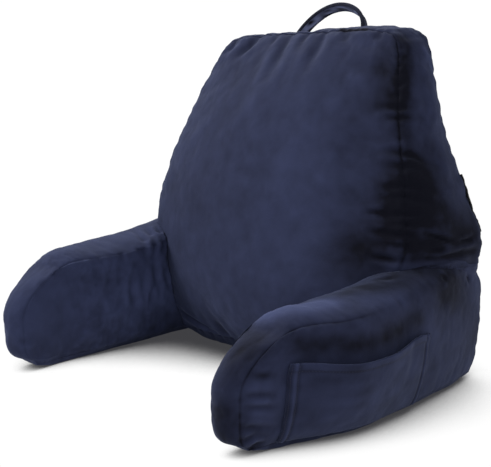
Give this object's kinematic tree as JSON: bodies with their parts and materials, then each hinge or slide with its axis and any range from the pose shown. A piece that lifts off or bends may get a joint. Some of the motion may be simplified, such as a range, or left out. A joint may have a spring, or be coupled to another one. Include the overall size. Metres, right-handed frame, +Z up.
{
  "type": "reading pillow with arms",
  "caption": "Free-standing bed backrest pillow: filled wedge back, boxed arm cushions with outer patch pockets, carrying handle on top and a short zip behind.",
  "frame": {"origin": "on the floor, under the middle of the whole pillow's box", "axes": "+Z up; the sitter leans on the back cushion and faces -Y; +X is on the sitter's left, the right of someone looking at the front"},
  "size_m": [0.6352, 0.4917, 0.5234],
  "materials": {
    "back_velour": "short-pile navy velour",
    "arm_velour": "short-pile navy velour",
    "pocket_velour": "short-pile navy velour, hemmed at the mouth",
    "strap": "folded navy velour strap, ribbed along its length",
    "zip": "black coil zip on woven tape"
  },
  "bodies": {
    "root": {"back_cushion": "back_velour", "arm_left": "arm_velour", "arm_right": "arm_velour", "pocket_left": "pocket_velour", "pocket_right": "pocket_velour", "handle": "strap", "rear_zip": "zip"}
  },
  "joints": []
}
